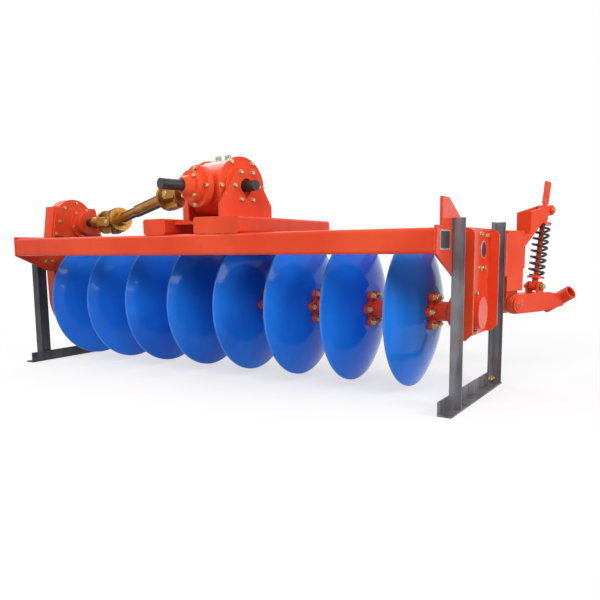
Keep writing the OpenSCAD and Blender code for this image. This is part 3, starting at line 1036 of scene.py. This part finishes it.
@dataclass
class Stands(Assembly):
    """Parking stands of rolled angle, bolted to the end plates and to their feet."""

    plate_bolt: Bolt = Bolt(0.0085, 0.0075, 0.0105)
    foot_bolt: Bolt = Bolt(0.0095, 0.008, 0.0120, 0.006)
    thick: float = 0.006
    spacing: Pair = (0.012, 0.038)
    left_front: Pair = (0.046, 0.089)
    height: float = 0.510
    foot_height: float = 0.024

    def build(self) -> None:
        """Paints the stands and bolts them."""
        # The left stand gets the darker copy of the steel as painted shade.
        self.paint(self.palette.painted_shade_steel, ("left_foot", "left_posts"))
        self.paint(self.palette.steel, ("right_foot", "right_posts"))
        plates, feet = [], []
        inner, outer = (corner.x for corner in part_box("right_end_plate"))
        for y in self.spots(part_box("right_posts"), self.spacing):
            plates.append(facing(Vector((inner, y, self.height)), -ALONG))
            plates.append(facing(Vector((outer + self.thick, y, self.height)), ALONG))
            feet.append(facing(Vector((outer + self.thick, y, self.foot_height)), ALONG))
            feet.append(facing(Vector((outer - self.thick, y, self.foot_height)), -ALONG))
        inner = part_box("left_end_plate")[1].x
        for y in self.spots(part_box("left_posts"), self.left_front):
            plates.append(facing(Vector((inner, y, self.height)), ALONG))
        self.bolts("stand_plate_bolts", self.plate_bolt, plates, Body.FRAME)
        self.bolts("stand_foot_bolts", self.foot_bolt, feet, Body.FRAME)

    def spots(self, box: tuple[Vector, Vector], front: Pair) -> list[float]:
        """Gives the places of the bolts along a stand.

        Args:
            box: The box of the stand's posts.
            front: How far the front ones lie behind its front.

        Returns:
            The front places and the rear ones.
        """
        low, high = box
        return [low.y + step for step in front] + [high.y - step for step in self.spacing]


@dataclass
class DiscGang(Assembly):
    """Discs on their spider hubs along the gang shaft."""

    discs: int = 8
    dish: float = 0.072
    disc_thick: float = 0.006
    hub_thick: float = 0.014
    bolt_ring: Ring = Ring(6, 0.060)
    nut: Bolt = Bolt(0.0110, 0.0105, 0.0130, 0.005)
    head: Bolt = Bolt(0.0110, 0.008, 0.0130)

    def build(self) -> None:
        """Paints the gang and bolts every disc to its hub."""
        self.paint(self.palette.blue, ("discs",))
        self.paint(self.palette.red, ("gang_shaft", "gang_spools", "disc_hubs"))
        low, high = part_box("discs")
        pitch = (high.x - low.x - self.dish) / (self.discs - 1)
        axis = Vector(JOINTS["gang_spin"]["pos_m"])
        nuts, heads = [], []
        for index in range(self.discs):
            flat = low.x + index * pitch + self.dish
            for y, z in self.bolt_ring.spots():
                outer = Vector((flat + self.hub_thick, axis.y + y, axis.z + z))
                inner = Vector((flat - self.disc_thick, axis.y + y, axis.z + z))
                nuts.append(facing(outer, ALONG))
                heads.append(facing(inner, -ALONG))
        self.bolts("hub_nuts", self.nut, nuts, Body.GANG)
        self.bolts("hub_bolt_heads", self.head, heads, Body.GANG)


@dataclass
class DriveLine(Assembly):
    """Cardan shaft between the two universal joints."""

    ear: float = 0.059
    cap: Drum = Drum(18, 0.0, 0.004, 0.0125, 0.010)
    hub_reach: float = 0.092
    hub_radius: float = 0.029
    lock_pin: Turned = Turned((
        Drum(16, 0.0, 0.006, 0.008, 0.007),
        Drum(10, 0.006, 0.010, 0.004, 0.003),
    ))

    def build(self) -> None:
        """Paints the shaft and adds cross caps and lock pins."""
        self.paint(self.palette.gold, ("gearbox_yoke", "gearbox_cross"))
        self.paint(self.palette.gold, ("cardan_outer", "cardan_inner"))
        joints = (
            ("gearbox", "gearbox_cross", joint_frame("output_spin"), Body.OUTPUT, 1.0),
            ("side", "side_cross", joint_frame("side_spin"), Body.SIDE, -1.0),
        )
        tube = joint_frame("cardan_spin").to_3x3()
        tube_caps = bmesh.new()
        for name, node, place, body, way in joints:
            low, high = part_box(node)
            centre = (low + high) / 2
            shaft = place.to_3x3()
            bm = bmesh.new()
            for side in SIDES:
                self.set_cap(bm, centre, shaft @ Vector((0.0, side, 0.0)))
                self.set_cap(tube_caps, centre, tube @ Vector((0.0, 0.0, side)))
            hub = centre + shaft @ Vector((way * self.hub_reach, 0.0, 0.0))
            out = shaft @ Vector((0.0, -1.0, 0.0))
            self.lock_pin.set(bm, facing(hub + out * self.hub_radius, out))
            self.add(f"{name}_joint_caps", bm, self.palette.bolt, body)
        self.add("cardan_joint_caps", tube_caps, self.palette.bolt, Body.CARDAN)

    def set_cap(self, bm: Mesh, centre: Vector, out: Vector) -> None:
        """Adds the cap of one arm of a cross, on the ear that holds it.

        Args:
            bm: The mesh.
            centre: The cross's centre.
            out: The way of the arm.
        """
        self.cap.set(bm, facing(centre + out * self.ear, out))


@dataclass
class TailArm(Assembly):
    """Sprung tail arm with its post, rod and spring."""

    pin_cap: float = 0.054
    boss: Turned = Turned((
        Drum(40, 0.0, 0.004, 0.0255, 0.0240),
        Drum(40, 0.004, 0.007, 0.0165, 0.0150),
    ))
    nipple: Turned = Turned((
        Drum(12, 0.007, 0.011, 0.005, 0.005),
        Drum(12, 0.011, 0.016, 0.003, 0.0025),
    ))
    clevis: float = 0.040
    swivel: float = 0.045
    seat: float = 0.044
    spring_keep: float = 0.895
    merge_gap: float = 0.00002
    nut: Bolt = Bolt(0.0125, 0.008, 0.013)
    small_nut: Bolt = Bolt(0.0085, 0.006, 0.0095)

    def build(self) -> None:
        """Paints the arm and adds its fasteners."""
        self.paint(self.palette.red, ("tail_bracket", "tail_post", "spring_bracket", "tail_pin"))
        self.paint(self.palette.red, ("tail_arm", "wheel_tube", "spring_rod", "spring_swivel"))
        self.paint(self.palette.red, ("swivel_pin",))
        self.paint(self.palette.gold, ("rod_pin",))
        self.paint(self.palette.spring, ("tail_spring",))
        bosses, nipples = bmesh.new(), bmesh.new()
        for seat in self.ends(joint_frame("tail_pivot"), self.pin_cap):
            self.boss.set(bosses, seat)
            self.nipple.set(nipples, seat)
        self.add("tail_pin_bosses", bosses, self.palette.red, Body.FRAME, Slot.RED)
        self.add("tail_pin_nipples", nipples, self.palette.plug, Body.FRAME)
        rod, swivel = joint_frame("rod_pivot"), joint_frame("swivel_pivot")
        self.bolts("rod_pin_nuts", self.nut, self.ends(rod, self.clevis), Body.TAIL)
        self.bolts("swivel_nuts", self.small_nut, self.ends(swivel, self.swivel), Body.FRAME)
        self.coil(rod.translation, swivel.translation)

    def ends(self, place: Matrix, reach: float) -> list[Matrix]:
        """Gives the seats at both ends of a pin.

        Args:
            place: The pin's frame, with X along it.
            reach: How far the seats lie from its middle.

        Returns:
            The two seats, facing outward.
        """
        ways = [place.to_3x3() @ Vector((side, 0.0, 0.0)) for side in SIDES]
        return [facing(place.translation + out * reach, out) for out in ways]

    def coil(self, foot: Vector, head: Vector) -> None:
        """Copies the spring as one merged piece that rides on the rod, and hides the imported one.

        Args:
            foot: The rod's pin; not used.
            head: The swivel's pin; not used.
        """
        bm = bmesh.new()
        bm.from_mesh(frame["nodes"]["tail_spring"].data)
        bmesh.ops.remove_doubles(bm, verts=bm.verts[:], dist=self.merge_gap)
        finish = self.palette.spring
        spring = self.add("coil_spring", bm, finish, Body.ROD, Slot.SPRING, smooth=60.0)
        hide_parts("tail_spring")
        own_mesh(spring)


@dataclass(frozen=True)
class Lamp:
    """A square soft lamp aimed at the plough."""

    name: str
    place: Triple
    size: float
    power: float


@dataclass
class Studio:
    """White floor and backdrop, soft lamps and the photograph's camera."""

    sensor: float = 36.0
    focal: float = 636.63
    frame_pixels: float = 600.0
    eye: Triple = (1.6835, -2.5057, 0.5581)
    yaw: float = 31.678
    pitch: float = 7.614
    roll: float = -0.550
    shift: float = 0.0583
    far: float = 200.0
    target: Triple = (0.0, -0.1, 0.45)
    floor_half: float = 30.0
    floor_tones: Pair = (0.93, 0.95)
    floor_clouds: Pattern = Pattern(0.8, 2.0, 0.3, 0.7)
    floor_roughness: float = 0.9
    fade: Pair = (0.9, 2.4)
    wash: float = 0.6
    ambient: float = 0.42
    lamps: tuple[Lamp, ...] = (
        Lamp("key", (1.2, -3.6, 3.4), 2.6, 105.0),
        Lamp("left", (-2.6, -2.4, 2.8), 1.2, 30.0),
        Lamp("right", (4.2, -0.6, 2.0), 2.0, 85.0),
        Lamp("top", (-2.4, 0.9, 3.3), 2.4, 52.0),
    )

    def build(self) -> None:
        """Sets the floor, the light and the camera."""
        scene = bpy.context.scene
        scene.view_settings.view_transform = "Standard"
        self.sky(scene)
        self.floor()
        for lamp in self.lamps:
            self.light(lamp)
        self.camera(scene)

    def sky(self, scene: bpy.types.Scene) -> None:
        """Lights the scene evenly and shows white behind it."""
        world = bpy.data.worlds.new("studio")
        world.use_nodes = True
        scene.world = world
        pen = NodePen(world.node_tree)
        shade = pen.tree.nodes["Background"].inputs
        pen.feed(shade["Color"], WHITE)
        pen.feed(shade["Strength"], pen.backdrop(self.ambient))

    def floor(self) -> None:
        """Lays a plain pale floor under the stands."""
        bm = bmesh.new()
        bmesh.ops.create_grid(bm, x_segments=1, y_segments=1, size=self.floor_half)
        mesh = bpy.data.meshes.new("floor")
        bm.to_mesh(mesh)
        bm.free()
        pen = ShaderPen("pale_floor")
        tones = [(tone, tone, tone, 1.0) for tone in self.floor_tones]
        pen.set(Base_Color=pen.mix(pen.pattern(self.floor_clouds), *tones))
        pen.set(Roughness=self.floor_roughness, Specular_IOR_Level=0.0)
        self.fade_out(pen)
        mesh.materials.append(pen.material)
        made = bpy.data.objects.new("floor", mesh)
        bpy.context.scene.collection.objects.link(made)

    def fade_out(self, pen: ShaderPen) -> None:
        """Lets the floor pass into the white backdrop away from the plough.

        Args:
            pen: The floor's pen.
        """
        length = pen.node("ShaderNodeVectorMath", {0: pen.place}, operation="LENGTH")
        share = pen.band(length.outputs["Value"], *self.fade, (self.wash, 1.0))
        level = pen.backdrop(self.ambient)
        glow = pen.node("ShaderNodeEmission", {"Color": WHITE, "Strength": level})
        inputs = {0: share, 1: pen.shader.outputs[0], 2: glow.outputs[0]}
        blend = pen.node("ShaderNodeMixShader", inputs)
        pen.feed(pen.tree.nodes["Material Output"].inputs["Surface"], blend.outputs[0])

    def light(self, lamp: Lamp) -> None:
        """Hangs one soft lamp.

        Args:
            lamp: Its place, size and power.
        """
        data = bpy.data.lights.new(lamp.name, "AREA")
        data.energy = lamp.power
        data.size = lamp.size
        made = bpy.data.objects.new(lamp.name, data)
        place = Vector(lamp.place)
        made.matrix_world = facing(place, place - Vector(self.target))
        bpy.context.scene.collection.objects.link(made)

    def camera(self, scene: bpy.types.Scene) -> None:
        """Sets the camera where the photograph was taken from."""
        data = bpy.data.cameras.new("camera")
        data.sensor_width = self.sensor
        data.lens = self.sensor * self.focal / self.frame_pixels
        data.shift_y = self.shift
        data.clip_end = self.far
        made = bpy.data.objects.new("camera", data)
        made.matrix_world = (
            Matrix.Translation(self.eye)
            @ Matrix.Rotation(math.radians(self.yaw), 4, "Z")
            @ Matrix.Rotation(math.radians(90.0 - self.pitch), 4, "X")
            @ Matrix.Rotation(math.radians(self.roll), 4, "Z")
        )
        scene.collection.objects.link(made)
        scene.camera = made


def main() -> None:
    """Dresses every sub-assembly and sets the studio."""
    logging.basicConfig(level=logging.INFO, format="%(name)s: %(message)s")
    palette = Palette.mixed()
    for part in (MainFrame, Gearbox, SideCase, Bearing, Stands, DiscGang, DriveLine, TailArm):
        part(palette).build()
    Studio().build()
    bpy.context.view_layer.update()


if __name__ == "__main__":
    main()
